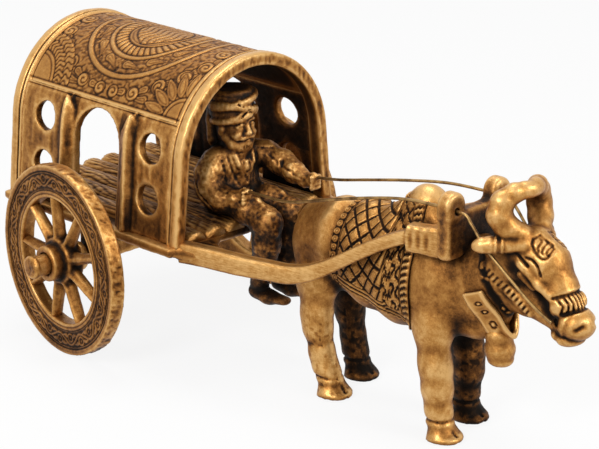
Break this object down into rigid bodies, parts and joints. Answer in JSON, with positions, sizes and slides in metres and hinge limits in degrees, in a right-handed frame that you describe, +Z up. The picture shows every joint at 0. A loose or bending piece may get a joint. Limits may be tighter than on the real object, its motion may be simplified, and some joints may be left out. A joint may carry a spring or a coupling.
{
  "type": "cast brass bullock cart model",
  "caption": "Ornamental cast brass model of a covered bullock cart: vaulted canopy, spoked wheels that turn, seated driver, wire reins and a humped bullock between curved shafts.",
  "frame": {"origin": "on the ground, under the middle of the model's box", "axes": "+X forward along the cart towards the bullock, +Y to the driver's left, +Z up"},
  "size_m": [0.2358, 0.1254, 0.108],
  "materials": {
    "antique_brass": "antique brass with dark patina in the carving",
    "rubbed_brass": "satin brass, rubbed bright on the high places",
    "darkened_brass": "dark brown patina over brass",
    "brass_wire": "drawn brass wire"
  },
  "bodies": {
    "cart": {"deck": "antique_brass", "floor_poles": "darkened_brass", "wall_right": "antique_brass", "wall_left": "antique_brass", "canopy_roof": "antique_brass", "front_arch": "rubbed_brass", "rear_arch": "rubbed_brass", "door_posts_right": "antique_brass", "door_posts_left": "antique_brass", "axle": "darkened_brass", "axle_brackets": "darkened_brass", "shaft_right": "rubbed_brass", "shaft_left": "rubbed_brass", "yoke": "darkened_brass", "rein_right": "brass_wire", "rein_left": "brass_wire", "driver_torso": "darkened_brass", "driver_head": "darkened_brass", "driver_turban": "darkened_brass", "driver_arm_right": "darkened_brass", "driver_arm_left": "darkened_brass", "driver_legs": "darkened_brass", "driver_shoes": "darkened_brass", "bullock_body": "rubbed_brass", "bullock_neck": "rubbed_brass", "bullock_head": "rubbed_brass", "bullock_horns": "rubbed_brass", "bullock_ears": "rubbed_brass", "bullock_fore_legs": "rubbed_brass", "bullock_hind_legs": "rubbed_brass", "bullock_hooves": "rubbed_brass", "bullock_tail": "rubbed_brass", "saddle_blanket": "antique_brass", "neck_strap": "rubbed_brass", "bell": "rubbed_brass"},
    "wheel_right": {"wheel_rim_right": "antique_brass", "wheel_spokes_right": "antique_brass", "wheel_hub_right": "rubbed_brass"},
    "wheel_left": {"wheel_rim_left": "antique_brass", "wheel_spokes_left": "antique_brass", "wheel_hub_left": "rubbed_brass"}
  },
  "joints": [
    {"name": "wheel_right_spin", "type": "hinge", "parent": "cart", "child": "wheel_right", "pos_m": [-0.07465, -0.0511, 0.0343], "axis": [0.1045, 0.9945, 0], "continuous": true},
    {"name": "wheel_left_spin", "type": "hinge", "parent": "cart", "child": "wheel_left", "pos_m": [-0.07465, 0.0511, 0.0343], "axis": [-0.1045, 0.9945, 0], "continuous": true}
  ]
}
